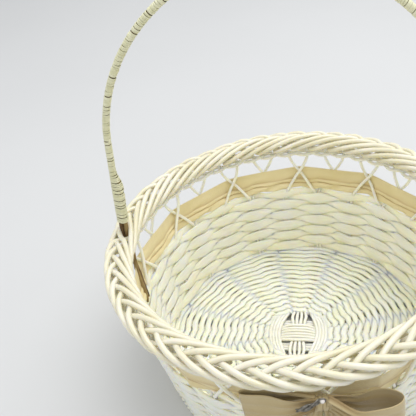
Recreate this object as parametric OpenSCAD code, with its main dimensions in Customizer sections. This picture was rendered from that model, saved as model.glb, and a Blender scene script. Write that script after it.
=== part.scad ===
// Round woven flower girl basket with a fixed hoop handle, an openwork band threaded with
// ribbon, a plaited border and a tied bow. Millimetres, +Z up. The origin is on the basket's
// axis, in the plane it stands on, and the handle lies in the XZ plane.

/* [Body] */
// Outer diameter over the plaited border
rim_d = 230; // [180:1:300]
// Diameter of the ring of stakes where they leave the base
base_d = 181.4; // [140:1:260]
// Height of the border's top edge
rim_z = 106; // [90:1:140]
// Height of the openwork between the solid wall weave and the rings below the border
open_h = 30; // [28:1:36]
// Rows of weaving in the wall
wall_rows = 11; // [6:1:14]
// Rows of paired weaving in the base
base_rows = 14; // [8:1:16]

/* [Rods and strands] */
// Diameter of the long rods that make the spokes and the stakes
rod_d = 2.2; // [1.6:0.1:2.6]
// Space between neighbouring rods in a group
rod_gap = 0.1; // [0.05:0.05:0.4]
// Diameter of the strands that weave the base
base_strand_d = 2; // [1.4:0.1:2.4]
// Thickness of the flat strip that weaves the wall
wall_strip_t = 1.2; // [0.6:0.1:1.6]
// Diameter of the strands in the plaited border
border_strand_d = 3.3; // [2.4:0.1:3.6]
// Clearance between woven pieces
weave_gap = 0.15; // [0.1:0.05:0.4]

/* [Base] */
// Space between the corners of the crossed rods and the first row of base weaving
first_row_gap = 2.5; // [2:0.5:5]
// Height of the ring that the basket stands on
foot_h = 3.4; // [2:0.1:3.4]
// Width of the ring that the basket stands on
foot_w = 6; // [4:0.5:8]

/* [Ribbon and bow] */
// Height of the ribbon as it lies in the openwork
ribbon_h = 17.5; // [10:0.5:20]
// Thickness of the ribbon, with its folds pressed together
ribbon_t = 0.8; // [0.4:0.1:1]
// Direction of the bow around the rim, counter-clockwise from +X
bow_angle = 282; // [271:1:299]
// Length of each bow loop
bow_loop_l = 35; // [28:1:46]
// Depth of each bow loop, front to back
bow_loop_d = 12; // [8:1:16]
// Width of the bow's ribbon
bow_w = 23; // [16:1:26]
// Length of the bow's tails
bow_tail_l = 52; // [30:1:56]
// Diameter of the bead on the bow
bead_d = 4; // [3:0.5:5]

/* [Handle] */
// Distance from the border's outer edge in to a leg's centre line
handle_inset = 7.5; // [6.5:0.5:8]
// Lean of the straight legs towards each other, in degrees
handle_lean = 7; // [4:1:9]
// Length of the straight leg above the middle of the border
handle_leg_l = 67; // [50:1:90]
// Bend radius of the shoulders
shoulder_r = 112; // [90:1:118]
// Turn of each shoulder, in degrees
shoulder_turn = 50; // [40:1:56]
// Diameter of the main stick
stick_d = 3.2; // [2.6:0.1:3.4]
// Diameter of the second stick in each leg
splice_d = 2.6; // [2:0.1:2.8]
// Thickness of the straw wrap
wrap_t = 0.7; // [0.4:0.1:1]
// Height of the wrap's lower end above the middle of the border
wrap_start = 8; // [7:1:14]
// Length of the second stick above the middle of the border
splice_l = 45; // [30:1:50]

/* [Hidden] */
$fn = 48;
spokes = 12;
rods_per_spoke = 4;
spoke_step = 360 / spokes;
stake_step = spoke_step / 2;
strand_step = stake_step / 2;

rim_r = rim_d / 2;
base_r = base_d / 2;
rod_pitch = rod_d + rod_gap;
rods_each_way = rods_per_spoke * spokes / 4;
cross_half = rods_each_way * rod_pitch / 2;
first_row_r = cross_half * sqrt(2) + first_row_gap;
base_mid_z = foot_h + weave_gap + rod_d / 2;
base_top_z = base_mid_z + rod_d / 2 + base_strand_d + 2 * weave_gap;
last_row_r = base_r - rod_d / 2 - base_strand_d / 2 - 2;
base_row_step = (last_row_r - first_row_r) / (base_rows - 1);
fan_r = 0.78 * base_r;
// Radial offset that keeps neighbouring rods apart where they fan out to the stakes
fan_stagger = 0.6;

rim_mid_z = rim_z - 6;
border_w = 19;
wale_z = rim_z - 16;
// The border stands this far out past the wale
border_lap = 8;
wale_reach = rod_d + 2 * weave_gap;
wale_r = rim_r - border_lap - wale_reach - rod_d / 2;
wall_slope = (wale_r - base_r) / (wale_z - base_mid_z);
wall_bottom_z = base_top_z + weave_gap;
wall_top_z = wale_z - open_h;
wall_pitch = (wall_top_z - wall_bottom_z) / wall_rows;
wall_strip_h = wall_pitch - weave_gap;
strip_flat_half = 4;
open_bottom_z = wall_top_z + weave_gap;
ribbon_bottom_z = open_bottom_z + 1;
bend_z = ribbon_bottom_z + ribbon_h + 2;

top_strand_z = rim_z - border_strand_d / 2;
bow_z = rim_z - 26;
wrap_gap = 0.1;
splice_shift = (stick_d + splice_d) / 2 + wrap_gap;

bow_line = rim_r - border_lap + 1.9;
handle_w = rim_d - 2 * handle_inset;
straw = [0.80, 0.80, 0.62];
ivory = [0.95, 0.94, 0.88];
champagne = [0.78, 0.70, 0.50];
brown = [0.42, 0.32, 0.2];

function two_digits(n) = n < 10 ? str("0", n) : str(n);
function base_row_name(i) = str("base_row_", two_digits(i));
function wall_row_name(i) = str("wall_row_", two_digits(i));

// Point at radius r, angle a and height z, moved sideways by side along the tangent
function at(r, a, z, side = 0) =
    [r * cos(a) - side * sin(a), r * sin(a) + side * cos(a), z];
function mirrored_x(p) = [-p.x, p.y, p.z];
function turned(p) = [p.y, p.x, p.z];
function backwards(list) = [for (i = [len(list) - 1 : -1 : 0]) list[i]];
// Radius of the leaning wall's middle surface
function wall_r(z) = base_r + (z - base_mid_z) * wall_slope;

module straight_rod(from, to, d) {
    way = to - from;
    translate(from)
        rotate([0, acos(way.z / norm(way)), atan2(way.y, way.x)])
            cylinder(h = norm(way), d = d);
}

rod_sides = 8;

function unit(v) = v / norm(v);

// Direction of a bent rod at one of its points: halfway between the stretches that meet there
function heading(points, i) =
    let (last = len(points) - 1,
         before = unit(points[max(i, 1)] - points[max(i, 1) - 1]),
         after = unit(points[min(i, last - 1) + 1] - points[min(i, last - 1)]))
    unit(before + after);

// Round rod through a list of points: a ring of corners at each, joined into one closed skin
module bent_rod(points, d) {
    rings = len(points);
    corners = [for (i = [0 : rings - 1])
        let (along = heading(points, i),
             across = unit(cross(along, abs(along.z) < 0.8 ? [0, 0, 1] : [0, 1, 0])),
             up = cross(across, along))
        for (k = [0 : rod_sides - 1])
            points[i] + d / 2 * (across * cos(k * 360 / rod_sides) + up * sin(k * 360 / rod_sides))];
    skin = [for (i = [0 : rings - 2], k = [0 : rod_sides - 1])
        let (next = (k + 1) % rod_sides, a = i * rod_sides, b = a + rod_sides)
        [a + k, a + next, b + next, b + k]];
    start_cap = [for (k = [rod_sides - 1 : -1 : 0]) k];
    end_cap = [for (k = [0 : rod_sides - 1]) (rings - 1) * rod_sides + k];
    polyhedron(corners, concat(skin, [start_cap], [end_cap]));
}

module ring(r, z, d) {
    translate([0, 0, z]) rotate_extrude() translate([r, 0]) circle(d = d);
}

// Half of cross rod number i: out of the middle, along its spoke and on to its stake
function half_rod(i, layer_z) =
    let (spoke = floor(i / rods_per_spoke) - 1,
         place = i % rods_per_spoke,
         a = spoke * spoke_step,
         side = (place - (rods_per_spoke - 1) / 2) * rod_pitch,
         stagger = place == 1 || place == 2 ? fan_stagger : -fan_stagger,
         stake_a = a + (place < 2 ? -1 : 1) * stake_step / 2,
         pair_side = (place % 2 - 0.5) * rod_pitch)
    [[cross_half, (i - (rods_each_way - 1) / 2) * rod_pitch, layer_z],
     at(first_row_r, a, base_mid_z, side),
     at(fan_r + stagger, a, base_mid_z, side),
     at(base_r + stagger, stake_a, base_mid_z, pair_side)];

function cross_rod(i, layer_z) =
    let (half = half_rod(i, layer_z))
    concat(backwards([for (p = half) mirrored_x(p)]), half);

module cross_rods_upper() {
    color(ivory)
        for (i = [0 : rods_each_way - 1])
            bent_rod(cross_rod(i, base_mid_z + rod_pitch / 2), rod_d);
}

module cross_rods_lower() {
    color(ivory)
        for (i = [0 : rods_each_way - 1])
            bent_rod([for (p = cross_rod(i, base_mid_z - rod_pitch / 2)) turned(p)], rod_d);
}

// One turn of paired weaving: a strand over the spokes and a strand under them
module base_row(i) {
    r = first_row_r + (i - 1) * base_row_step;
    reach = rod_d / 2 + base_strand_d / 2 + weave_gap;
    color(ivory)
        for (side = [-1, 1])
            ring(r, base_mid_z + side * reach, base_strand_d);
}

// Flat-bottomed ring under the ends of the spokes
module foot_ring() {
    color(ivory)
        rotate_extrude()
            translate([base_r - foot_w / 2, 0]) {
                square([foot_w, foot_h - 1]);
                translate([1, 0]) square([foot_w - 2, foot_h]);
                translate([1, foot_h - 1]) circle(r = 1);
                translate([foot_w - 1, foot_h - 1]) circle(r = 1);
            }
}

// Pairs of rods standing in the wall
module side_stakes() {
    bottom = base_mid_z + rod_d / 2 + weave_gap;
    color(ivory)
        for (a = [stake_step / 2 : stake_step : 359])
            for (side = [-0.5, 0.5])
                straight_rod(at(wall_r(bottom), a, bottom, side * rod_pitch),
                             at(wall_r(wall_top_z), a, wall_top_z, side * rod_pitch), rod_d);
}

// One turn of the flat wall strip, outside one stake and inside the next
module wall_row(i) {
    z = wall_bottom_z + (i - 1) * wall_pitch;
    r = wall_r(z + wall_strip_h / 2);
    lean = wall_slope * wall_strip_h / 2;
    bow_in = r * (1 - cos(strip_flat_half));
    reach = rod_d / 2 + wall_strip_t / 2 + lean + bow_in + weave_gap;
    stakes = 2 * spokes;
    function outline(r_shift) =
        [for (k = [0 : stakes - 1])
            let (a = (k + 0.5) * stake_step,
                 rr = r + r_shift + ((k + i) % 2 == 0 ? reach : -reach))
            for (turn = [-strip_flat_half, strip_flat_half])
                [rr * cos(a + turn), rr * sin(a + turn)]];
    color(ivory)
        translate([0, 0, z])
            linear_extrude(wall_strip_h)
                difference() {
                    polygon(outline(wall_strip_t / 2));
                    polygon(outline(-wall_strip_t / 2));
                }
}

// Two rods that lean across each other above the wall; layers are their distances
// from the wall's middle surface while they pass the ribbon
module crossing(a, layers) {
    top_z = top_strand_z - border_strand_d / 2 - rod_d / 2 - weave_gap;
    for (k = [0, 1]) {
        lean = k == 0 ? -1 : 1;
        foot_a = a + lean * stake_step * 0.43;
        bend_a = a - lean * stake_step * 0.1;
        top_a = a - lean * strand_step / 2;
        bent_rod([at(wall_r(open_bottom_z) + layers[k], foot_a, open_bottom_z + rod_d / 2),
                  at(wall_r(bend_z) + layers[k], bend_a, bend_z),
                  at(wall_r(wale_z), top_a, wale_z - 2),
                  at(wall_r(wale_z) + 1, top_a, top_z)], rod_d);
    }
}

ribbon_reach = ribbon_t / 2 + rod_d / 2 + 0.55;
// Radial distance that keeps two leaning rods apart
layer_step = (rod_d + weave_gap) * norm([1, wall_slope]);

module inner_crossings() {
    color(ivory)
        for (a = [0 : spoke_step : 359])
            crossing(a, [-ribbon_reach, -ribbon_reach - layer_step]);
}

module outer_crossings() {
    color(ivory)
        for (a = [stake_step : spoke_step : 359])
            crossing(a, [ribbon_reach + 0.3, ribbon_reach + 0.3 + layer_step]);
}

// Pair of strands that holds the crossed rods together below the border
module upper_wale() {
    color(ivory)
        for (side = [-1, 1])
            ring(wale_r + side * wale_reach, wale_z, rod_d);
}

// Rows of the plaited border: one strand for each rod that comes up from the openwork
module border_row(from_r, from_z, to_r, to_z, turn) {
    color(ivory)
        for (a = [strand_step / 2 : strand_step : 359])
            straight_rod(at(from_r, a - turn / 2, from_z), at(to_r, a + turn / 2, to_z),
                         border_strand_d);
}

border_outer_r = rim_r - border_strand_d / 2;

module border_outer_row() {
    border_row(border_outer_r, rim_mid_z + 2, border_outer_r - 1.5, rim_mid_z - 5, 8);
}

module border_top_row() {
    border_row(rim_r - border_w + 3, top_strand_z, border_outer_r - 3, top_strand_z, 4);
}

module border_inner_row() {
    border_row(rim_r - border_w + 1.8, rim_mid_z - 4, rim_r - border_w + 1.7, rim_mid_z + 0.8, 6);
}

// Ribbon between the inner and the outer crossings, leaning as the wall does
module ribbon_band() {
    color(champagne)
        rotate_extrude()
            polygon([for (corner = [[-1, 0], [1, 0], [1, ribbon_h], [-1, ribbon_h]])
                let (z = ribbon_bottom_z + corner.y)
                [wall_r(z) + corner.x * ribbon_t / 2, z]]);
}

// Puts a piece at the bow's place: +X outwards from the rim, +Y along it, +Z up
module at_bow() {
    rotate([0, 0, bow_angle]) translate([bow_line, 0, bow_z]) children();
}

module loop_outline(l, d) {
    translate([0, d / 2]) square([d, l - d]);
    for (y = [d / 2, l - d / 2])
        translate([d / 2, y]) circle(d = d);
}

knot_w = 9;
// The left loop turns in by this much, to lie along the rim
left_loop_turn = 9;

module bow_loop(side) {
    color(champagne)
        at_bow()
            translate([0, 0, -bow_w / 2])
                rotate([0, 0, side < 0 ? -left_loop_turn : 0])
                    linear_extrude(bow_w)
                        mirror([0, side < 0 ? 1 : 0])
                            translate([0, knot_w / 2 + weave_gap])
                                difference() {
                                    loop_outline(bow_loop_l, bow_loop_d);
                                    translate([ribbon_t, ribbon_t])
                                        loop_outline(bow_loop_l - 2 * ribbon_t,
                                                     bow_loop_d - 2 * ribbon_t);
                                }
}

module bow_tail(side) {
    color(champagne)
        at_bow()
            translate([bow_loop_d / 2, side * 2, -bow_w / 2 - weave_gap])
                rotate([side * 12, 0, 0])
                    translate([-ribbon_t / 2, side < 0 ? -18 : 0, -bow_tail_l])
                        cube([ribbon_t, 18, bow_tail_l - 4]);
}

// Gathered middle of the bow
module bow_knot() {
    color(champagne)
        at_bow()
            translate([bow_loop_d / 2, 0, -bow_w / 2])
                linear_extrude(bow_w)
                    square([bow_loop_d - 2, knot_w], center = true);
}

// Narrow metal clasp on the front of the bow, rising to the bead on the knot
module bow_clasp() {
    color("silver")
        at_bow()
            translate([bow_loop_d + 1.4, -7, 7])
                rotate([-65, 0, 0]) {
                    translate([0, 0, -5]) cylinder(d = 2.4, h = 10);
                    for (z = [-5, 5]) translate([0, 0, z]) sphere(d = 2.44);
                }
}

module bow_bead() {
    color("white")
        at_bow()
            translate([bow_loop_d + bead_d / 2 - 0.8, 1.4, 10.6]) sphere(d = bead_d);
}

// Section placed at the foot of the handle's right leg, with +Z up along the leg
module on_leg(shift = 0) {
    translate([handle_w / 2, 0, rim_mid_z])
        rotate([0, -handle_lean, 0])
            translate([-shift, 0, 0]) children();
}

// Centres of the shoulder bend and of the top bend, in the handle's plane
shoulder_x = handle_w / 2 - handle_leg_l * sin(handle_lean) - shoulder_r * cos(handle_lean);
shoulder_z = rim_mid_z + handle_leg_l * cos(handle_lean) - shoulder_r * sin(handle_lean);
top_turn = handle_lean + shoulder_turn;
top_r = (shoulder_x + shoulder_r * cos(top_turn)) / cos(top_turn);
top_z = shoulder_z + (shoulder_r - top_r) * sin(top_turn);

// Right foot of a stick: past the wale and the ribbon, down to the top of the wall weave
stick_low_z = wale_z - 2;
stick_low_r = handle_w / 2 + (rim_mid_z - stick_low_z) * tan(handle_lean);
stick_end_z = wall_top_z + 3;
stick_end_r = wall_r(stick_end_z) + ribbon_t / 2 + stick_d + splice_d / 2;

// Points of a bend in the handle's plane, close enough that a chord strays by bend_sag at most
bend_sag = 0.06;
function bend_points(x, z, r, from, to) =
    let (steps = ceil((to - from) / (2 * acos(1 - bend_sag / r))))
    [for (i = [0 : steps - 1])
        let (a = from + (to - from) * i / steps)
        [x + r * cos(a), 0, z + r * sin(a)]];

// Right half of the hoop from its shoulder to just before its top
half_hoop = concat(
    bend_points(shoulder_x, shoulder_z, shoulder_r, handle_lean, top_turn),
    bend_points(0, top_z, top_r, top_turn, 90)
);

stick_foot = [
    [stick_end_r, 0, stick_end_z],
    [stick_low_r, 0, stick_low_z],
    [handle_w / 2, 0, rim_mid_z]
];

module handle_stick() {
    right = concat(stick_foot, half_hoop);
    color(brown)
        bent_rod(concat(right, [[0, 0, top_z + top_r]],
                        backwards([for (p = right) mirrored_x(p)])), stick_d);
}

// Shorter second stick on the inner side of each leg
module handle_splice() {
    below = rim_mid_z - wale_z - 5;
    color(brown)
        on_leg(splice_shift)
            translate([0, 0, -below]) cylinder(h = splice_l + below, d = splice_d);
}

module handle_splice_right() { handle_splice(); }
module handle_splice_left() { mirror([1, 0, 0]) handle_splice(); }

wrap_d = stick_d + 2 * (wrap_t + wrap_gap);
sleeve_end = splice_l + 2;

module wrap_section() {
    difference() {
        circle(d = wrap_d);
        circle(d = stick_d + 4 * wrap_gap);
    }
}

// A bend in the handle's plane, from one angle above +X to another
module wrap_bend(x, z, r, from, to) {
    translate([x, 0, z])
        rotate([90, 0, 0])
            rotate([0, 0, from])
                rotate_extrude(angle = to - from)
                    translate([r, 0]) wrap_section();
}

// Straw wrap over the bends of the hoop
module handle_wrap_top() {
    color(straw)
        wrap_bend(0, top_z, top_r, top_turn, 180 - top_turn);
}

module handle_wrap_shoulder() {
    color(straw)
        wrap_bend(shoulder_x, shoulder_z, shoulder_r, handle_lean, top_turn);
}

// Straw wrap on a leg: a wide sleeve over both sticks, and a round one above
module handle_wrap_leg() {
    color(straw)
        on_leg() {
            translate([0, 0, sleeve_end])
                linear_extrude(handle_leg_l - sleeve_end) wrap_section();
            translate([0, 0, wrap_start])
                linear_extrude(sleeve_end - wrap_start)
                    difference() {
                        union() {
                            circle(d = wrap_d);
                            translate([-splice_shift, -wrap_d / 2])
                                square([splice_shift, wrap_d]);
                            translate([-splice_shift, 0]) circle(d = wrap_d);
                        }
                        circle(d = stick_d + 4 * wrap_gap);
                        translate([-splice_shift, 0]) circle(d = splice_d + 2 * wrap_gap);
                    }
        }
}

module handle_wrap_leg_right() { handle_wrap_leg(); }
module handle_wrap_leg_left() { mirror([1, 0, 0]) handle_wrap_leg(); }
module handle_wrap_shoulder_right() { handle_wrap_shoulder(); }
module handle_wrap_shoulder_left() { mirror([1, 0, 0]) handle_wrap_shoulder(); }

cross_rods_upper();
cross_rods_lower();
foot_ring();
side_stakes();
for (i = [1 : base_rows])
    base_row(i);
for (i = [1 : wall_rows])
    wall_row(i);
inner_crossings();
outer_crossings();
upper_wale();
border_outer_row();
border_top_row();
border_inner_row();
ribbon_band();
bow_loop(-1);  // bow_loop_left
bow_loop(1);  // bow_loop_right
bow_tail(-1);  // bow_tail_left
bow_tail(1);  // bow_tail_right
bow_knot();
bow_clasp();
bow_bead();
handle_stick();
handle_splice_left();
handle_splice_right();
handle_wrap_leg_left();
handle_wrap_leg_right();
handle_wrap_shoulder_left();
handle_wrap_shoulder_right();
handle_wrap_top();
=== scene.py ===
import bpy
import numpy as np
from mathutils import Matrix, Vector


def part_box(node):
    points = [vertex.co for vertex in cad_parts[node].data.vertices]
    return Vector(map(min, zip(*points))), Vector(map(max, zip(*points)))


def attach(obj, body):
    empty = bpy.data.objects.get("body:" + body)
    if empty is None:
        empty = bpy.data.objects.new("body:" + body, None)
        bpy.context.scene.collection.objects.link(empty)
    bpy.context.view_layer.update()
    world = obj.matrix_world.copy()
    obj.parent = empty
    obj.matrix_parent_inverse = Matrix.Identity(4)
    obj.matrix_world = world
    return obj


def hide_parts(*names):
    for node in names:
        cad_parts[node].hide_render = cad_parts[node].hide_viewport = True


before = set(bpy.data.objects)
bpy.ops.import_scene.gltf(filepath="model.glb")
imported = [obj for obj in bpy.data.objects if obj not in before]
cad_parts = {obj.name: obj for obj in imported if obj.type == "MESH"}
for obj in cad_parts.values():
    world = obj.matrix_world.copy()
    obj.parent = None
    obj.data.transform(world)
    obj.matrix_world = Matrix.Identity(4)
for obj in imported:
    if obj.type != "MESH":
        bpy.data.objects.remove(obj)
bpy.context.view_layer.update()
rng = np.random.default_rng(11)
TAU = 2 * np.pi
MM = 0.001


# ---------------------------------------------------------------- places, in millimetres
def span(node):
    lo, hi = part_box(node)
    return np.array(lo) / MM, np.array(hi) / MM


ROD = 2.2  # thickness of a long rod
PITCH = 2.3  # step between rods that lie side by side
GAP = 0.15  # play between one layer and the next
SPOKE = 30  # degrees from one spoke to the next
STAKE = 7.5  # degrees from a spoke to each of its two pairs of stakes
WAY = 12  # long rods each way
FOOT_HALF = 3.0  # from the middle of the foot ring to its outside
ROW_HALF = 1.0  # from the middle of a base row to its outside
WALE_HALF = 2.5  # from the stakes to the middle of the twisted pair

foot_hi = span("foot_ring")[1]
base_r = foot_hi[0] - FOOT_HALF
base_z = foot_hi[2] + GAP + ROD / 2
rim_r = span("border_outer_row")[1][0]
rim_z = span("border_top_row")[1][2]
wale_lo, wale_hi = span("upper_wale")
wale_z = (wale_lo[2] + wale_hi[2]) / 2
wale_r = wale_hi[0] - WALE_HALF - ROD / 2
wall_lo = span("wall_row_01")[0][2]
wall_hi = span("wall_row_11")[1][2]
ribbon_lo = span("ribbon_band")[0]
slope = (wale_r - base_r) / (wale_z - base_z)
first_row = span("base_row_01")[1][0] - ROW_HALF
last_row = span("base_row_14")[1][0] - ROW_HALF


def wall_r(z):
    """Radius of the stakes at a height, out along the leaning wall."""
    return base_r + (z - base_z) * slope


def polar(deg, r, z, side=0.0):
    """One point at a bearing and radius, moved sideways by side."""
    a = np.radians(deg)
    return np.array([r * np.cos(a) - side * np.sin(a), r * np.sin(a) + side * np.cos(a), z])


def polars(deg, r, z):
    a = np.radians(deg)
    return np.stack([r * np.cos(a), r * np.sin(a), z + 0 * a], axis=1)


def ease(t):
    """0 to 1 with soft ends."""
    t = np.clip(t, 0, 1)
    return t * t * (3 - 2 * t)


def smooth(points, step=1.5, closed=False):
    """Catmull-Rom curve through the points, cut into even steps."""
    p = np.asarray(points, float)
    if closed:
        ext = np.vstack([p[-1:], p, p[:2]])
    else:
        ext = np.vstack([2 * p[:1] - p[1:2], p, 2 * p[-1:] - p[-2:-1]])
    t = np.linspace(0, 1, 13)[:-1, None]
    out = [
        0.5 * (2 * b + (c - a) * t + (2 * a - 5 * b + 4 * c - d) * t**2 + (3 * b - a - 3 * c + d) * t**3)
        for a, b, c, d in zip(ext, ext[1:], ext[2:], ext[3:])
    ]
    out.append(p[:1] if closed else p[-1:])
    q = np.vstack(out)
    s = np.concatenate([[0], np.cumsum(np.linalg.norm(np.diff(q, axis=0), axis=1))])
    at = np.linspace(0, s[-1], max(3, int(round(s[-1] / step))) + 1)
    r = np.stack([np.interp(at, s, q[:, k]) for k in range(3)], axis=1)
    return r[:-1] if closed else r


def waves(count, low, high, seed):
    """Smooth random function of an angle in degrees that closes on itself."""
    g = np.random.default_rng(seed)
    k = g.integers(low, high, count)
    a = g.normal(size=count) / np.sqrt(count)
    f = g.uniform(0, TAU, count)
    return lambda deg: (a * np.sin(np.radians(np.asarray(deg))[..., None] * k + f)).sum(-1) * 1.4


# ---------------------------------------------------------------- meshes
def make_mesh(name, verts, faces, uvs, nodes, mat, shade=None):
    """A smooth-shaded piece from points in millimetres, riding on the basket."""
    mesh = bpy.data.meshes.new(name)
    mesh.from_pydata((verts * MM).tolist(), [], faces)
    layer = mesh.uv_layers.new(name="strand")
    layer.data.foreach_set("uv", np.asarray(uvs, np.float32).ravel())
    if shade is not None:
        mesh.attributes.new("shade", "FLOAT", "POINT").data.foreach_set("value", shade.astype(np.float32))
    mesh.polygons.foreach_set("use_smooth", np.ones(len(mesh.polygons), bool))
    obj = bpy.data.objects.new(name, mesh)
    bpy.context.scene.collection.objects.link(obj)
    mesh.materials.append(mat)
    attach(obj, "root")
    if nodes:
        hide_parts(*nodes)
    return obj


def frames(p, up, closed):
    """Tangent, up and sideways directions along a route, without twist where no up is given."""
    if closed:
        t = np.roll(p, -1, 0) - np.roll(p, 1, 0)
    else:
        t = np.gradient(p, axis=0)
    t /= np.linalg.norm(t, axis=1)[:, None]
    if up is None:
        u = np.empty_like(p)
        v = np.cross(t[0], [0.3, 0.2, 0.93])
        for i, d in enumerate(t):
            v = v - d * (v @ d)
            v /= np.linalg.norm(v)
            u[i] = v
    else:
        u = up - t * (up * t).sum(1)[:, None]
        u /= np.linalg.norm(u, axis=1)[:, None]
    return t, u, np.cross(t, u)


def sweep(name, routes, section, nodes, mat, ups=None, closed=False, taper=0, shade=None):
    """One mesh of the section carried along each route. section is (m, 2), or one (n, m, 2) for each
    route, with columns across and up. taper rounds both ends over that many rings."""
    verts, faces, uvs, shades, base = [], [], [], [], 0
    for j, p in enumerate(routes):
        p = np.asarray(p)
        n = len(p)
        sec = section[j] if isinstance(section, list) else np.broadcast_to(section, (n, *section.shape))
        m = sec.shape[1]
        t, u, s = frames(p, None if ups is None else ups[j], closed)
        if taper and not closed:
            k = np.minimum(np.arange(n), np.arange(n)[::-1])
            f = np.sqrt(1 - np.clip(1 - (k + 0.35) / taper, 0, 1) ** 2)
            sec = sec * f[:, None, None]
        v = p[:, None] + s[:, None] * sec[..., :1] + u[:, None] * sec[..., 1:]
        verts.append(v.reshape(-1, 3))
        rings = n if closed else n - 1
        i, k = np.meshgrid(np.arange(rings), np.arange(m), indexing="ij")
        i, k = i.ravel(), k.ravel()
        i2, k2 = (i + 1) % n, (k + 1) % m
        faces.append(base + np.stack([i * m + k, i * m + k2, i2 * m + k2, i2 * m + k], 1))
        length = np.concatenate([[0], np.cumsum(np.linalg.norm(np.diff(p, axis=0), axis=1))])
        length = np.append(length, length[-1] * 2 - length[-2]) * 0.1
        off = j * 7.31
        uv = np.stack([
            np.stack([length[i] + off, k / m], 1), np.stack([length[i] + off, (k + 1) / m], 1),
            np.stack([length[i + 1] + off, (k + 1) / m], 1), np.stack([length[i + 1] + off, k / m], 1)], 1)
        uvs.append(uv.reshape(-1, 2))
        if shade is not None:
            shades.append(np.broadcast_to(shade[j] if isinstance(shade, list) else shade, (n, m)).ravel())
        base += n * m
    verts = np.vstack(verts)
    quads = np.vstack(faces)
    a, b, c = verts[quads[:, 0]], verts[quads[:, 1]], verts[quads[:, 2]]
    flip = (a * np.cross(b, c)).sum() < 0
    uvs = np.vstack(uvs).reshape(-1, 4, 2)
    if flip:
        quads, uvs = quads[:, ::-1], uvs[:, ::-1]
    faces, uvs = quads.tolist(), uvs.reshape(-1, 2)
    if not closed:
        start, caps = 0, []
        for j, p in enumerate(routes):
            m = section[j].shape[1] if isinstance(section, list) else len(section)
            first = list(range(start, start + m))
            last = list(range(start + (len(p) - 1) * m, start + len(p) * m))
            caps += [first if flip else first[::-1], last[::-1] if flip else last]
            start += len(p) * m
        # the side quads run 0, 1 of one ring to the next, so the first cap is the reverse of its ring
        faces += caps
        uvs = np.vstack([uvs, np.zeros((sum(len(f) for f in caps), 2))])
    return make_mesh(name, verts, faces, uvs, nodes, mat,
                     np.concatenate(shades) if shades else None)


def sheet_mesh(name, grid, nodes, mat, closed=False, shade=None, thick=0.35):
    """Cloth from a grid of points (around, across), given its thickness by Solidify."""
    n, m, _ = grid.shape
    rings = n if closed else n - 1
    i, k = np.meshgrid(np.arange(rings), np.arange(m - 1), indexing="ij")
    i, k = i.ravel(), k.ravel()
    i2 = (i + 1) % n
    faces = np.stack([i * m + k, i * m + k + 1, i2 * m + k + 1, i2 * m + k], 1)
    step = np.linalg.norm(np.diff(grid, axis=1), axis=2).mean(0)
    across = np.concatenate([[0], np.cumsum(step)]) * 0.1
    lengths = np.linalg.norm(np.diff(np.concatenate([grid, grid[:1]]), axis=0), axis=2).mean(1)
    along = np.concatenate([[0], np.cumsum(lengths)]) * 0.1
    uv = np.stack([np.stack([along[i], across[k]], 1), np.stack([along[i], across[k + 1]], 1),
                   np.stack([along[i + 1], across[k + 1]], 1), np.stack([along[i + 1], across[k]], 1)], 1)
    obj = make_mesh(name, grid.reshape(-1, 3), faces.tolist(), uv.reshape(-1, 2), nodes, mat,
                    None if shade is None else shade.ravel())
    mod = obj.modifiers.new("thickness", "SOLIDIFY")
    mod.thickness = thick * MM
    mod.offset = 0
    return obj


def oval(w, h, m=8):
    a = np.arange(m) * TAU / m
    return np.stack([w / 2 * np.cos(a), h / 2 * np.sin(a)], 1)


def ribbed(section, sizes):
    """The section at each place of a route, scaled by that place's size."""
    return section[None] * sizes[:, None, None]


# ---------------------------------------------------------------- materials
def srgb(r, g, b):
    return tuple(((c / 255 + 0.055) / 1.055) ** 2.4 for c in (r, g, b)) + (1.0,)


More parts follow.
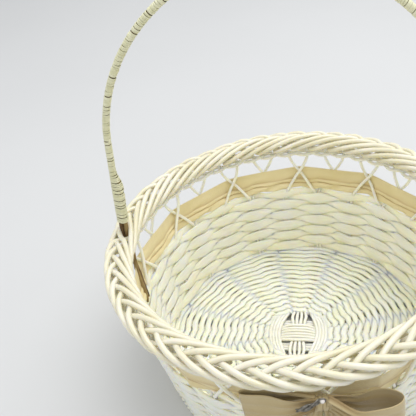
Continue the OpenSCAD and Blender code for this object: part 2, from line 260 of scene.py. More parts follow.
def material(name, light, dark, shade_colour=None, rough=0.4, spread=0.1, patch=60.0, streak=None, bump=0.1,
             grain=None, weave=None, soft=0.0, sheen=0.0, coat=0.0, metal=0.0, gloss=0.5):
    """Principled surface whose colour wanders between light and dark, and goes towards a painted shade colour
    where the mesh's shade value is high, for painted shade in creases, folds and gaps. streak is (along,
    around) for lengthwise fibres, grain a fine all-over noise, weave the texture scale of a satin cloth's
    two sets of threads."""
    mat = bpy.data.materials.new(name)
    mat.use_nodes = True
    nt = mat.node_tree
    nt.nodes.clear()
    new, link = nt.nodes.new, nt.links.new
    out, bsdf = new("ShaderNodeOutputMaterial"), new("ShaderNodeBsdfPrincipled")
    link(bsdf.outputs[0], out.inputs[0])
    bsdf.inputs["Metallic"].default_value = metal
    bsdf.inputs["Specular IOR Level"].default_value = gloss
    if soft:
        bsdf.inputs["Subsurface Weight"].default_value = soft
        bsdf.inputs["Subsurface Radius"].default_value = (1.0, 0.85, 0.5)
        bsdf.inputs["Subsurface Scale"].default_value = 0.003
    if sheen:
        bsdf.inputs["Sheen Weight"].default_value = sheen
        bsdf.inputs["Sheen Roughness"].default_value = 0.4
    if coat:
        bsdf.inputs["Coat Weight"].default_value = coat
        bsdf.inputs["Coat Roughness"].default_value = 0.15
    place = new("ShaderNodeTexCoord")
    uv = new("ShaderNodeUVMap")
    uv.uv_map = "strand"

    def noise(vector, scale, stretch=(1, 1, 1), detail=3.0):
        mp = new("ShaderNodeMapping")
        mp.inputs["Scale"].default_value = stretch
        link(vector, mp.inputs["Vector"])
        nz = new("ShaderNodeTexNoise")
        nz.inputs["Scale"].default_value = scale
        nz.inputs["Detail"].default_value = detail
        link(mp.outputs[0], nz.inputs["Vector"])
        return nz.outputs["Fac"]

    def ranged(value, lo, hi, a=0.3, b=0.7):
        mr = new("ShaderNodeMapRange")
        for key, v in (("From Min", a), ("From Max", b), ("To Min", lo), ("To Max", hi)):
            mr.inputs[key].default_value = v
        link(value, mr.inputs["Value"])
        return mr.outputs["Result"]

    def mixed(fac, a, b):
        mx = new("ShaderNodeMix")
        mx.data_type = "RGBA"
        link(fac, mx.inputs["Factor"])
        for key, v in ((6, a), (7, b)):
            if isinstance(v, tuple):
                mx.inputs[key].default_value = v
            else:
                link(v, mx.inputs[key])
        return mx.outputs[2]

    patches = noise(place.outputs["Object"], patch)
    heights = []
    fac = patches
    if streak:
        lines = noise(uv.outputs[0], 1.0, (streak[0], streak[1], 1), 4.0)
        heights.append((lines, 1.0))
        add = new("ShaderNodeMath")
        add.operation = "ADD"
        link(ranged(lines, -0.25, 0.25), add.inputs[0])
        link(patches, add.inputs[1])
        fac = add.outputs[0]
    colour = mixed(ranged(fac, 0, 1), dark, light)
    if weave:
        threads = new("ShaderNodeTexWave")
        threads.bands_direction = "X"
        threads.inputs["Scale"].default_value = weave
        threads.inputs["Distortion"].default_value = 0.6
        link(uv.outputs[0], threads.inputs["Vector"])
        heights.append((threads.outputs["Fac"], 0.35))
        cross = new("ShaderNodeTexWave")
        cross.bands_direction = "Y"
        cross.inputs["Scale"].default_value = weave * 0.7
        cross.inputs["Distortion"].default_value = 0.6
        link(uv.outputs[0], cross.inputs["Vector"])
        heights.append((cross.outputs["Fac"], 0.25))
    if grain:
        heights.append((noise(place.outputs["Object"], grain, detail=5.0), 0.6))
    # painted shade: mix towards the shade colour where the mesh's shade value is high
    if shade_colour:
        att = new("ShaderNodeAttribute")
        att.attribute_name = "shade"
        colour = mixed(ranged(att.outputs["Fac"], 0, 1, 0.0, 1.0), colour, shade_colour)
    link(colour, bsdf.inputs["Base Color"])
    link(ranged(patches, rough - spread, rough + spread), bsdf.inputs["Roughness"])
    normal = None
    for value, part in heights:
        b = new("ShaderNodeBump")
        b.inputs["Strength"].default_value = min(1.0, bump * 2)
        b.inputs["Distance"].default_value = 0.0003 * part
        link(value, b.inputs["Height"])
        if normal:
            link(normal, b.inputs["Normal"])
        normal = b.outputs[0]
    if normal:
        link(normal, bsdf.inputs["Normal"])
    return mat


ivory = srgb(250, 248, 237)
cream = srgb(246, 243, 224)
rods_mat = material("ivory_rod", ivory, cream, rough=0.34, streak=(0.5, 6), bump=0.06, soft=0.5)
base_mat = material("ivory_base_strand", srgb(253, 249, 230), srgb(249, 244, 214),
                    rough=0.4, streak=(0.4, 6), bump=0.04, soft=1.0)
# wall strips: the third colour is painted shade, mixed in by the strips' shade values
strip_mat = material("ivory_wall_strip", srgb(249, 247, 236), srgb(244, 242, 222), srgb(232, 226, 172),
                     rough=0.42, streak=(0.25, 26), bump=0.2, soft=0.9)
border_mat = material("white_border_strand", srgb(236, 231, 214), srgb(226, 220, 190),
                      rough=0.28, streak=(0.3, 5), bump=0.06, soft=0.4, coat=0.25)
# champagne ribbon: the third colour is painted shade in the ribbon's folds
ribbon_mat = material("champagne_satin", srgb(242, 228, 182), srgb(232, 216, 162), srgb(186, 146, 82),
                      rough=0.42, weave=34, patch=35, bump=0.12, sheen=0.25)
# beige bow: the third colour is painted shade in the gathers and folds
bow_mat = material("beige_satin", srgb(202, 184, 140), srgb(188, 168, 118), srgb(140, 104, 48),
                   rough=0.4, weave=34, patch=40, bump=0.12, sheen=0.3)
bark_dark = material("dark_bark", srgb(128, 102, 70), srgb(84, 62, 38),
                     rough=0.75, streak=(1.2, 14), bump=0.9, grain=900, patch=160, gloss=0.25)
bark_light = material("light_bark", srgb(160, 138, 92), srgb(118, 94, 58),
                      rough=0.75, streak=(1.0, 16), bump=0.9, grain=900, patch=160, gloss=0.25)
# straw wrap: the third colour is painted shade in the gaps between turns
straw_mat = material("straw_wrap", srgb(238, 236, 206), srgb(222, 220, 180), srgb(190, 185, 132),
                     rough=0.62, streak=(0.8, 12), bump=0.35, patch=220, gloss=0.3)
metal_mat = material("brushed_clasp", srgb(150, 146, 138), srgb(88, 84, 76),
                     rough=0.34, streak=(1, 30), bump=0.2, patch=700, metal=1.0)
pearl_mat = material("pearl", srgb(240, 236, 226), srgb(222, 214, 206),
                     rough=0.15, patch=300, coat=0.8, soft=0.2)


# ---------------------------------------------------------------- long rods: spokes, stakes and openwork
PART_AT = 0.78  # share of the base's radius where the four rods of a spoke part into two pairs
CROSSED = 7.5  # degrees from a pair of stakes to the place where its rods cross the next pair's


def cross_points(i, on_top):
    """The middle of rod i of one way, from the centre of the base to the edge of the cross."""
    way, k, y = i // 4 - 1, i % 4 - 1.5, (i + 0.5 - WAY / 2) * PITCH
    if on_top and 3 <= i <= 8:  # over the middle rods of the other way, under its side groups
        return [[0, y * 1.15, base_z + 1.9], [6.5, y * 1.12, base_z + 1.55], [10.5, y, base_z + 0.3],
                [15.5, y, base_z - 1.2]]
    if on_top:  # under all of the other way
        return [[x, y, base_z - 1.7] for x in (0, 6.5, 10.5)] + [[15.5, y * 0.98, base_z - 1.4]]
    if way == 0:  # under the middle rods of the other way, over its side groups
        return [[0, y, base_z - 0.9], [6, y * 1.1, base_z - 0.8], [9.4, y * 1.2, base_z + 1.2],
                [12, y * 1.3, base_z + 1.3], [16, y * 1.4, base_z + 0.8]]
    # side group, bulging out and over
    return [[0, way * 16.4 + k * 2.05, base_z + 1.3], [8, way * 15.4 + k * 2.1, base_z + 1.3],
            [14.5, way * 13.2 + k * 2.15, base_z + 0.9]]


def rod_route(i, on_top, turn):
    """Half of a long rod, from the middle of the base to the top of the openwork, turned into place."""
    way, place = i // 4 - 1, i % 4
    spoke = way * SPOKE
    stake = spoke + (STAKE if place > 1 else -STAKE)
    side, pair = (place - 1.5) * PITCH, (place % 2 - 0.5) * PITCH
    part_r = base_r * PART_AT + (0.6 if place in (1, 2) else -0.6)

    pts = cross_points(i, on_top)
    pts.append(polar(spoke, first_row + 0.5, base_z + (-0.5 if on_top else 0.2), side))
    pts += [polar(spoke, r, base_z, side) for r in (34, 50, part_r)]
    edge = polar(stake, base_r - 2.2, base_z, pair)
    pts += [(pts[-1] + edge) / 2, edge, polar(stake, base_r - 0.2, base_z + 1.0, pair)]
    pts += [polar(stake, wall_r(z), z, pair) for z in (base_z + 4, 22, 38, wall_hi - 4)]

    # in the openwork each rod leans over to cross its neighbour, inside or outside the ribbon
    lean = 1 if place % 2 else -1
    centre = stake + lean * CROSSED
    inner = round((centre + turn) / 15) % 2 == 0
    foot = -2.0 if inner else 1.5
    if lean > 0:
        mid = 0.1 if inner else 0.3
    else:
        mid = -2.2 if inner else 2.6
    z0 = ribbon_lo[2] + 0.3
    for swing, z, off in ((-5.5, z0, foot), (-1.9, z0 + 10, mid * 0.8 + foot * 0.2), (0.7, z0 + 16, mid),
                          (2.5, z0 + 21, mid * 0.7)):
        pts.append(polar(centre + lean * swing, wall_r(z) + off, z))
    pts.append(polar(centre + lean * 3.8, wall_r(wale_z) + mid * 0.2, wale_z - 2))
    pts.append(polar(centre + lean * 3.75, wale_r + 1, wale_z + 4))
    pts.append(polar(centre + lean * 3.75, wale_r + 1.6, wale_z + 7))
    c, s = np.cos(np.radians(turn)), np.sin(np.radians(turn))
    return np.array(pts) @ np.array([[c, s, 0], [-s, c, 0], [0, 0, 1]])


routes = []
for turn, on_top in ((0, True), (90, False)):
    for i in range(WAY):
        out = rod_route(i, on_top, turn)
        back = rod_route(WAY - 1 - i, on_top, turn + 180)
        whole = np.vstack([back[:0:-1], out])
        whole += rng.normal(0, 0.06, whole.shape)
        routes.append(smooth(whole, 1.6))
rod_nodes = ["cross_rods_upper", "cross_rods_lower", "side_stakes", "inner_crossings", "outer_crossings"]
sweep("long_rods", routes, oval(ROD, ROD), rod_nodes, rods_mat, taper=2)

# ---------------------------------------------------------------- woven base
rows = 14
row_pitch = (last_row - first_row) / (rows - 1)
spread_r = base_r * 0.76  # the spokes widen beyond this
routes, sections, ups = [], [], []
for j in range(rows + 1):
    R, lift = first_row + row_pitch * j, 0.0
    if j == rows:  # the turn that the rods bend up against
        R, lift = base_r - 1.0, 0.9
    arc = TAU * R / 12
    half_spoke = 2 * PITCH + max(0, R - spread_r) * 0.45
    edge = min(half_spoke / arc, 0.3)
    arch = min(2.4, 0.1 * arc) if j < rows else 0.6
    n = int(arc / 1.1) * 12
    deg = np.arange(n) * 360 / n
    wob = waves(6, 3, 30, 100 + j)
    for strand in (0, 1):
        k = np.floor(deg / SPOKE)
        s = deg / SPOKE - k
        u = np.clip((s - edge) / (1 - 2 * edge), 0, 1)
        over = (k + strand + j) % 2 == 0
        # half a turn about each other between spokes: one goes down on the outside, one up on the inside
        twist = np.radians(90 - 180 * u) + np.where(over, 0, np.pi)
        apart = 0.22 * row_pitch * np.cos(twist)
        r = R + arch * (np.sin(np.pi * s) ** 0.8 - 0.55) + apart + 0.1 * wob(deg)
        z = base_z + lift + 1.25 * np.sin(twist) + 0.1 * wob(deg + 40)
        routes.append(polars(deg, r, z))
        wide = row_pitch * (0.86 - 0.12 * np.sin(np.pi * u))
        high = 1.9 + 0.3 * np.sin(np.pi * u)
        sections.append(oval(1, 1, 10)[None] * np.stack([wide, high], 1)[:, None])
        ups.append(np.tile([0.0, 0.0, 1.0], (n, 1)))
row_names = [f"base_row_{i:02d}" for i in range(1, rows + 1)]
sweep("woven_base", routes, sections, row_names, base_mat, ups=ups, closed=True)

# ---------------------------------------------------------------- rope that the basket stands on
rope_r, rope_z, rope_strand = base_r - 0.1, foot_hi[2] / 2, 1.95
deg = np.arange(400) * 360 / 400
routes = []
for k in range(3):
    a = np.radians(deg) * 48 + k * TAU / 3
    routes.append(polars(deg, rope_r + 1.75 * np.cos(a), rope_z + 0.72 * np.sin(a)))
sweep("foot_rope", routes, oval(rope_strand, rope_strand), ["foot_ring"], base_mat,
      closed=True)

# ---------------------------------------------------------------- wall strips
# each turn goes outside one pair of stakes and inside the next, and is widest where it passes a pair
walls = 11
strip_pitch = (wall_hi + GAP - wall_lo) / walls
n = 312
deg = np.arange(n) * 360 / n
wave = np.cos(np.radians(12 * (deg - STAKE)))
bulge = abs(wave) ** 1.3
across, upward = oval(2, 2, 18).T
routes, sections, ups, shades = [], [], [], []
for i in range(walls):
    z = wall_lo + (i + 0.5) * strip_pitch
    wob = waves(8, 4, 40, 300 + i)
    rise = 0.25 * wob(deg)
    half = (2.8 + 1.65 * bulge) * (1 + 0.06 * wob(deg + 90))
    if i == walls - 1:
        rise = rise + 0.9 * np.cos(np.radians(12 * deg)) + 0.3
        half = half * 0.85
    if i == 0:
        rise, half = rise - 1.3, half + 1.2
    out = wave * (-1.7 if i % 2 == 0 else 1.7)
    routes.append(polars(deg, wall_r(z + rise) + out, z + rise))
    thick = 0.8 + 0.25 * bulge
    ripple = 1 + 0.16 * np.cos(6 * np.pi * upward + 0.7 * i)
    sections.append(np.stack([thick[:, None] * (np.sign(across) * abs(across) ** 0.8 * ripple)[None],
                              half[:, None] * (np.sign(upward) * abs(upward) ** 0.9)[None]], 2))
    ups.append(polars(deg, np.full(n, slope), 1.0))
    # painted shade along each strip's top and bottom edges, where it meets the rows above and below, stronger
    # between the stakes
    shades.append((upward ** 4)[None] * (0.12 + 0.3 * (1 - bulge))[:, None])
strip_names = [f"wall_row_{i:02d}" for i in range(1, walls + 1)]
sweep("wall_strips", routes, sections, strip_names, strip_mat,
      ups=ups, closed=True, shade=shades)

# ---------------------------------------------------------------- twisted pair below the border
deg = np.arange(480) * 360 / 480
routes = []
for k in (0, 1):
    a = np.radians(24 * (deg - STAKE / 2)) + k * np.pi
    routes.append(polars(deg, wale_r + 0.4 + 2.3 * np.cos(a), wale_z + 0.95 * np.sin(a)))
sweep("wale_pair", routes, oval(2.4, 2.4), ["upper_wale"], rods_mat, closed=True)

# ---------------------------------------------------------------- plaited border
# each strand rises from the openwork, arcs over the rim and in, and comes out again along the edge.
# a strand's points are degrees along the rim, radius and height, for a rim of PLAIT_R and PLAIT_Z
PLAIT_R, PLAIT_Z = 115, 106
STRANDS, STRAND = 48, 3.3
LEG_CLEAR_X, LEG_CLEAR_Y = 4.8, 3.3  # room that the two sticks of a leg need, out and sideways
plait_in = np.array([
    (-12, 104, 92), (-8, 105.5, 93.5), (-4, 108.3, 94.6), (-1, 110.6, 96.2), (2.5, 110.4, 99.0),
    (5, 108.6, 101.6), (8, 106, 103.7), (11, 103.9, 104.3), (14, 102.1, 103.9), (18.5, 100.0, 102.6),
    (23, 98.6, 100.6), (27, 98.3, 98.2), (30, 99.3, 96), (32, 100.6, 95.6)], float)
plait_out = np.array([
    (-5, 103.5, 98.0), (-2.5, 105.3, 100.3), (0, 107.8, 102.6), (3, 110.8, 103.2), (7, 112.9, 101.2),
    (11, 113.2, 98.4), (14.5, 112.2, 95.6), (17, 109.6, 93.4), (19, 106, 92.4)], float)


def part_strand(p):
    """Pushes a strand aside where a leg of the handle stands in its way, and lower in front of the leg."""
    for x in (rim_r - 9, 9 - rim_r):
        d = p[:, :2] - [x, 0]
        m = np.argmin((d ** 2).sum(1))
        gap = np.linalg.norm(d[m])
        if gap > 9:
            continue
        n = d[m] / max(gap, 0.01)
        room = 1 / np.hypot(n[0] / LEG_CLEAR_X, n[1] / LEG_CLEAR_Y)
        near = np.exp(-(((p - p[m]) ** 2).sum(1)) / 98)
        p[:, :2] += n * (max(0, room - gap) * near)[:, None]
        front = np.exp(-((p[:, 0] - x) ** 2 + (p[:, 1] + 5) ** 2) / 60)
        p[:, 2] -= 3.2 * front
    return p


for name, shape, start, nodes in (("border_arches", plait_in, 0.0, ["border_top_row", "border_inner_row"]),
                                  ("border_edge", plait_out, 39.9, ["border_outer_row"])):
    routes = []
    for k in range(STRANDS):
        along, out, up = rng.normal(0, 1, 3)
        first = STAKE / 2 + 360 / STRANDS * k + 12 + start + 0.25 * along
        pts = [polar(first + d, r + rim_r - PLAIT_R + 0.2 * out,
                     min(z + rim_z - PLAIT_Z + 0.2 * up, rim_z - STRAND / 2)) for d, r, z in shape]
        routes.append(part_strand(smooth(pts)))
    sweep(name, routes, oval(STRAND, STRAND, 12), nodes, border_mat, taper=3)


# ---------------------------------------------------------------- ribbon threaded through the openwork
RIBBON_H = 17.4  # height of the folded ribbon


def ribbon_base(deg, z):
    """Radius of the twelve-sided loop that the ribbon makes: out over the inner crossings."""
    half = SPOKE / 2
    d = (np.asarray(deg) + half) % SPOKE - half
    chord = np.cos(np.radians(half)) / np.cos(np.radians(half - abs(d)))
    soften = 0.5 * np.exp(-((d / 2.5) ** 2))
    return (wall_r(z) + 1.9) * chord - soften


# the ribbon's outline from its lower edge up: out from the loop, nothing, and height
outline = smooth([(0.3, 0, 0.0), (-0.6, 0, 1.0), (-1.0, 0, 2.6), (-0.7, 0, 3.9), (0.3, 0, 4.5),
                  (0.2, 0, 4.9), (-0.6, 0, 5.9), (-0.5, 0, 7.0), (0.3, 0, 7.6), (0.1, 0, 9.0),
                  (0.0, 0, 12.0), (0.1, 0, 15.0), (0.0, 0, RIBBON_H)], 0.62)
n = 480
deg = np.arange(n) * 360 / n
grid = np.empty((n, len(outline), 3))
shade = np.empty((n, len(outline)))
low, mid, fine = waves(8, 4, 22, 5), waves(9, 8, 40, 6), waves(10, 30, 80, 8)
for k, (o, _, h) in enumerate(outline):
    f = k / (len(outline) - 1)
    folded = np.clip(1.35 - h / 9, 0, 1)
    hz = h + folded * (0.7 * low(deg + 9 * f) + 0.35 * mid(deg - 6 * f)) * np.clip(h / 2, 0, 1)
    ro = o * (1 + 0.5 * mid(deg)) + folded * 0.35 * mid(deg + 30 * f) + 0.12 * low(deg + 50 * f)
    ro = ro + 0.12 * fine(deg + 14 * f) * folded
    z = ribbon_lo[2] + np.clip(hz, -0.4, RIBBON_H + 0.2)
    grid[:, k] = polars(deg, ribbon_base(deg, z) + ro, z)
    # painted shade in the folds of the ribbon's lower part, darkest where the outline lies furthest out
    shade[:, k] = np.clip((o + 0.15) * 1.8, 0, 1) * (h > 0.5) * folded
ribbon = sheet_mesh("threaded_ribbon", grid, ["ribbon_band"], ribbon_mat,
                    closed=True, shade=shade, thick=0.3)

# ---------------------------------------------------------------- bow
BOW_DEG = 282
LOOP_REACH = 37.0  # length along the rim over which a loop opens; the loops end a little beyond it
THROAT_HALF, LOOP_HALF = 4.6, 11.6  # half of the ribbon's width, gathered and spread
bow_line = rim_r - 8 + 1.9
loop_lo, loop_hi = span("bow_loop_right")
bow_z = (loop_lo[2] + loop_hi[2]) / 2


def bow_point(x, y, z):
    """From the bow's own axes, outwards, along the rim and up, to the basket's."""
    a = np.radians(BOW_DEG)
    r = bow_line + x
    return np.stack([r * np.cos(a) - y * np.sin(a), r * np.sin(a) + y * np.cos(a), bow_z + z], -1)


def bow_loop(name, node, path, drop, turn, seed):
    """A loop of ribbon along a path in the bow's axes, gathered at both ends, hanging by drop."""
    p = smooth([(x, y, 0) for x, y in path], 1.0)
    nv = 25
    v = np.linspace(-1, 1, nv)
    grid = np.empty((len(p), nv, 3))
    shade = np.empty((len(p), nv))
    d = np.gradient(p[:, :2], axis=0)
    d /= np.linalg.norm(d, axis=1)[:, None]
    normal = np.stack([-d[:, 1], d[:, 0]], 1)
    reach = abs(p[:, 1]) / LOOP_REACH
    g = np.random.default_rng(seed)
    ph = g.uniform(0, TAU, 4)
    open_out = ease(reach * 1.25)
    half = THROAT_HALF + (LOOP_HALF - THROAT_HALF) * open_out
    gather = 1.25 * (1 - ease(reach * 1.5)) + 0.12
    for k in range(nv):
        wave = np.sin(3.1 * np.pi * v[k] + ph[0] + 1.5 * np.arange(len(p)) / len(p)) \
            + 0.45 * np.sin(6.7 * np.pi * v[k] + ph[1])
        off = gather * wave + 0.35 * np.sin(reach * 9 + ph[2] + 2 * v[k]) * open_out
        x = p[:, 0] + normal[:, 0] * off
        y = p[:, 1] + normal[:, 1] * off
        z = 6.8 - drop * ease(reach * 1.9) + half * v[k]
        a = np.radians(turn)
        x2, y2 = x * np.cos(a) - y * np.sin(a), x * np.sin(a) + y * np.cos(a)
        grid[:, k] = bow_point(x2, y2, z)
        # painted shade in the hollows of the gathered folds, strongest near the knot
        shade[:, k] = np.clip(0.8 - wave, 0, 1) * np.clip(gather, 0, 1) * 0.6
    return sheet_mesh(name, grid, [node], bow_mat, shade=shade)


right = bow_loop("bow_right_loop", "bow_loop_right",
                 [(5.2, 2.5), (3.2, 8), (0.9, 16), (0.5, 27), (2.4, 35), (6.0, 38.4), (9.8, 35.5), (11.6, 27),
                  (11.0, 17), (8.2, 8), (6.2, 2.5)], 14.0, 0, 3)
left = bow_loop("bow_left_loop", "bow_loop_left",
                [(5.0, -2.5), (3.2, -8), (1.8, -16), (1.8, -28), (2.6, -37.2), (3.5, -38.8), (4.5, -37.2),
                 (5.4, -28), (6.0, -16), (6.4, -8), (6.0, -2.5)], 7.0, -9, 4)


def bow_tail(name, node, side, seed):
    """A tail that widens from the knot and ends in a notch."""
    g = np.random.default_rng(seed)
    ph = g.uniform(0, TAU, 3)
    s = np.linspace(0, 1, 50)
    v = np.linspace(-1, 1, 17)
    S, V = np.meshgrid(s, v, indexing="ij")
    half = 3.5 + 7.6 * ease(S * 1.7)
    y = side * (3 + 13 * S) + half * V * np.cos(side * 0.35)
    fold = (1 - ease(S * 1.6)) * 1.0 * np.sin(3 * np.pi * V + ph[0]) + 0.9 * np.sin(2.3 * V + 3.2 * S + ph[1])
    x = 5.2 + 1.6 * np.sin(S * 4 + ph[2]) - 3.0 * S + fold
    notch = 3.4 * (1 - abs(V)) * ease((S - 0.8) * 5)
    z = 1.5 - 54 * S + side * V * 2.2 * S + notch
    # painted shade following the tail's folds
    return sheet_mesh(name, bow_point(x, y, z), [node], bow_mat,
                      shade=np.clip(fold, 0, 1) * 0.3)


for name, node, side, seed in (("bow_left_tail", "bow_tail_left", -1, 21),
                               ("bow_right_tail", "bow_tail_right", 1, 22)):
    bow_tail(name, node, side, seed)

# gathered wrap round the middle
s = np.linspace(0, 1, 61)[:-1]
v = np.linspace(-1, 1, 15)
S, V = np.meshgrid(s, v, indexing="ij")
a = S * TAU
ripple = 0.35 * np.sin(5 * np.pi * V + 1.2 * np.sin(a)) + 0.2 * np.sin(9 * V + 3 * a)
pinch = 1 - 0.12 * V**2
x = 4.8 + (3.0 * pinch + ripple) * np.cos(a)
y = 4.4 * V * (1 - 0.15 * np.cos(a)) + 0.6 * np.sin(a)
z = 5.0 + (4.6 * pinch + ripple) * np.sin(a)
# painted shade in the dips of the wrap's ripples
knot = sheet_mesh("bow_wrap", bow_point(x, y, z), ["bow_knot"], bow_mat, closed=True,
                  shade=np.clip(-ripple * 1.6, 0, 1) * 0.7)

# twisted metal clasp and the pearl in its cup
clasp, sections = [], []
for k in (0, 1):
    s = np.linspace(0, 1, 40)
    a = s * TAU * 0.9 + k * np.pi
    y = -13.5 + 12.0 * s
    z = 7.0 + 5.6 * s + 0.75 * np.sin(a)
    x = 9.6 + 0.75 * np.cos(a) - 1.0 * (2 * s - 1) ** 2
    clasp.append(bow_point(x, y, z))
    fat = 0.45 + 0.75 * np.sin(np.pi * s) ** 0.7
    sections.append(ribbed(oval(1.5, 1.1, 10), fat))
sweep("clasp_twist", clasp, sections, ["bow_clasp"], metal_mat, taper=4)
PEARL_R, CUP_R = 1.2, 1.55
centre = bow_point(9.6, -0.6, 13.2)
lat = np.linspace(0.02, np.pi, 22)
a = np.radians(BOW_DEG)
facing = np.array([np.cos(a) * 0.75, np.sin(a) * 0.75, 0.66])
facing /= np.linalg.norm(facing)
route = centre + facing[None] * (PEARL_R * np.cos(lat))[:, None]
sweep("pearl", [route], [ribbed(oval(2, 2, 24), PEARL_R * np.sin(lat))], ["bow_bead"], pearl_mat)
ring = [centre + bow_point(-0.2, CUP_R * np.cos(a), CUP_R * np.sin(a)) - bow_point(0, 0, 0)
        for a in np.arange(24) * TAU / 24]
sweep("pearl_cup", [smooth(ring, 0.3, closed=True)], oval(0.8, 0.8), None, metal_mat,
      closed=True)

# ---------------------------------------------------------------- handle
LEAN, LEG, SHOULDER_R, SHOULDER_TURN = 7.0, 67.0, 112.0, 50.0
mid_z = rim_z - 6
leg_x = rim_r - 7.5
sl, cl = np.sin(np.radians(LEAN)), np.cos(np.radians(LEAN))
sh_x, sh_z = leg_x - LEG * sl - SHOULDER_R * cl, mid_z + LEG * cl - SHOULDER_R * sl
turn = LEAN + SHOULDER_TURN
top_r = (sh_x + SHOULDER_R * np.cos(np.radians(turn))) / np.cos(np.radians(turn))
top_z = sh_z + (SHOULDER_R - top_r) * np.sin(np.radians(turn))


def hoop(from_s):
    """Centre line of the hoop's right half, from a height on the leg to the top."""
    pts = [(leg_x - s * sl, 0, mid_z + s * cl) for s in np.linspace(from_s, LEG, 12)]
    pts += [(sh_x + SHOULDER_R * np.cos(a), 0, sh_z + SHOULDER_R * np.sin(a))
            for a in np.radians(np.arange(LEAN + 4, turn, 4))]
    pts += [(top_r * np.cos(a), 0, top_z + top_r * np.sin(a)) for a in np.radians(np.arange(turn, 90.5, 4))]
    return np.array(pts)


def flip_x(p):
    return np.asarray(p) * [-1, 1, 1]


def both_sides(half):
    """A line over the whole handle: its right half, the top and the mirror image of the half."""
    return np.vstack([half, [[0, 0, top_z + top_r]], flip_x(half[::-1])])


foot = np.array([polar(-10, wall_r(58) - 1.6, 58), polar(-8, wall_r(66) - 1.4, 66),
                 polar(-3.5, wall_r(76) + 1.0, 76), polar(-0.8, leg_x - 2.2, 88),
                 polar(0, leg_x - 0.4, mid_z - 1)])
route = smooth(both_sides(np.vstack([foot, hoop(9)])), 2.0)
knobs = waves(14, 10, 90, 51)
sec = ribbed(oval(3.1, 3.1, 14), 1 + 0.05 * knobs(np.linspace(0, 360, len(route))))
sweep("hoop_stick", [route], [sec], ["handle_stick"], bark_dark)


def beside_leg(inward, up):
    """A point beside the right leg's centre line, in the handle's plane."""
    return [leg_x - inward - up * sl, 0, mid_z + up * cl]


for name, node, sign in (("right_second_stick", "handle_splice_right", 1),
                         ("left_second_stick", "handle_splice_left", -1)):
    pts = np.array([polar(-13, wall_r(58) - 2.0, 58), polar(-11, wall_r(66) - 2.6, 66),
                    polar(-6.0, wall_r(76) - 0.4, 76), polar(-2.2, leg_x - 4.8, 88),
                    polar(-0.6, leg_x - 3.3, mid_z - 1),
                    beside_leg(3.0, 10), beside_leg(2.9, 30), beside_leg(2.6, 44)])
    if sign < 0:
        pts = flip_x(pts)
    route = smooth(pts, 2.0)
    along = np.linspace(0, 360, len(route))
    sec = ribbed(oval(2.8, 2.8, 12), 1 + 0.06 * knobs(along * 0.3 + 50 * sign))
    sweep(name, [route], [sec], [node], bark_light, taper=3)

# straw strip wound along the hoop
start_s = 10.5
line = smooth(both_sides(hoop(start_s)), 0.5)
dist = np.concatenate([[0], np.cumsum(np.linalg.norm(np.diff(line, axis=0), axis=1))])
total = dist[-1]
turn_pitch = 1.35
samples = 18
s = np.linspace(0, total, int(total / turn_pitch) * samples + 1)
wob = waves(30, 20, 220, 77)
phase = s / turn_pitch * TAU + 0.9 * wob(s / total * 360)
centre_line = np.stack([np.interp(s, dist, line[:, k]) for k in range(3)], 1)
tang = np.gradient(centre_line, axis=0)
tang /= np.linalg.norm(tang, axis=1)[:, None]
side_y = np.array([0.0, 1.0, 0.0])
inward = np.cross(tang, side_y)
inward *= np.sign((inward * (np.array([0, 0, mid_z + 60]) - centre_line)).sum(1))[:, None]
from_foot = np.minimum(s, total - s) + start_s
swell = 1 - ease((from_foot - 36) / 14)  # over the second stick
radial = np.cos(phase)[:, None] * side_y + np.sin(phase)[:, None] * inward
stick_out = 1.94 + 0.18 * swell  # from the hoop's centre line to the strip, clear of the stick
reach = stick_out + 2.95 * swell * np.clip(np.sin(phase), 0, 1) ** 1.25 + 0.05 * wob(s / total * 720)
centre_w = centre_line + radial * reach[:, None] + tang * (0.1 * wob(s / total * 360 + 50))[:, None]
flat = np.array([(-0.8, 0.0), (-0.45, 0.2), (0.1, 0.27), (0.6, 0.2), (0.85, 0.02), (0.4, -0.12),
                 (-0.3, -0.16)])
tilt = 0.12
flat = flat @ np.array([[np.cos(tilt), np.sin(tilt)], [-np.sin(tilt), np.cos(tilt)]])
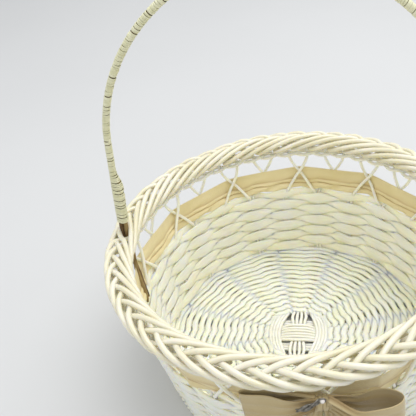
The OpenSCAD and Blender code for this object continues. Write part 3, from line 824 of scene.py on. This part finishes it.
# painted shade on the strip's edges and underside, in the gaps between turns, stronger at random along the
# hoop
gap_shade = np.clip(wob(s / total * 360 + 120) * 1.2, 0, 1)[:, None]
shade = np.array([0.3, 0.05, 0.0, 0.0, 0.05, 0.3, 0.3])[None] * (0.4 + gap_shade)
sweep("straw_wrap", [centre_w], [np.broadcast_to(flat, (len(s), 7, 2))],
      ["handle_wrap_leg_left", "handle_wrap_leg_right", "handle_wrap_shoulder_left",
       "handle_wrap_shoulder_right", "handle_wrap_top"], straw_mat, ups=[radial], shade=[shade])

# ---------------------------------------------------------------- floor, light and camera
floor_mat = material("pale_floor", srgb(211, 212, 212), srgb(208, 209, 209), rough=0.9, spread=0.02, patch=3,
                     gloss=0.1)
floor = bpy.data.objects.new("floor", bpy.data.meshes.new("floor"))
far = 3.0
floor.data.from_pydata([(-far, -far, 0), (far, -far, 0), (far, far, 0), (-far, far, 0)], [], [(0, 1, 2, 3)])
floor.data.materials.append(floor_mat)
bpy.context.scene.collection.objects.link(floor)


def area_light(name, place, size, power):
    """A round light that shines on the middle of the basket."""
    data = bpy.data.lights.new(name, "AREA")
    data.shape = "DISK"
    data.size = size
    data.energy = power
    obj = bpy.data.objects.new(name, data)
    obj.location = place
    obj.rotation_euler = (Vector((0, 0, 0.05)) - Vector(place)).to_track_quat("-Z", "Y").to_euler()
    bpy.context.scene.collection.objects.link(obj)


area_light("key", (0.30, 0.20, 1.25), 1.3, 10.8)
area_light("fill", (-0.9, -0.6, 0.9), 1.2, 0.8)
world = bpy.data.worlds.new("studio")
bpy.context.scene.world = world
world.use_nodes = True
world.node_tree.nodes["Background"].inputs[0].default_value = (0.97, 0.98, 1.0, 1)
world.node_tree.nodes["Background"].inputs[1].default_value = 0.78

cam = bpy.data.cameras.new("camera")
cam.lens = 51.92
cam.sensor_width = 36
cam.clip_start = 0.01
camera = bpy.data.objects.new("camera", cam)
camera.matrix_world = Matrix((
    (0.97153, 0.02286, 0.23582, 0.04009),
    (0.17345, 0.60938, -0.77367, -0.28524),
    (-0.16139, 0.79254, 0.58807, 0.33539),
    (0, 0, 0, 1)))
bpy.context.scene.collection.objects.link(camera)
bpy.context.scene.camera = camera
bpy.context.scene.view_settings.view_transform = "Standard"
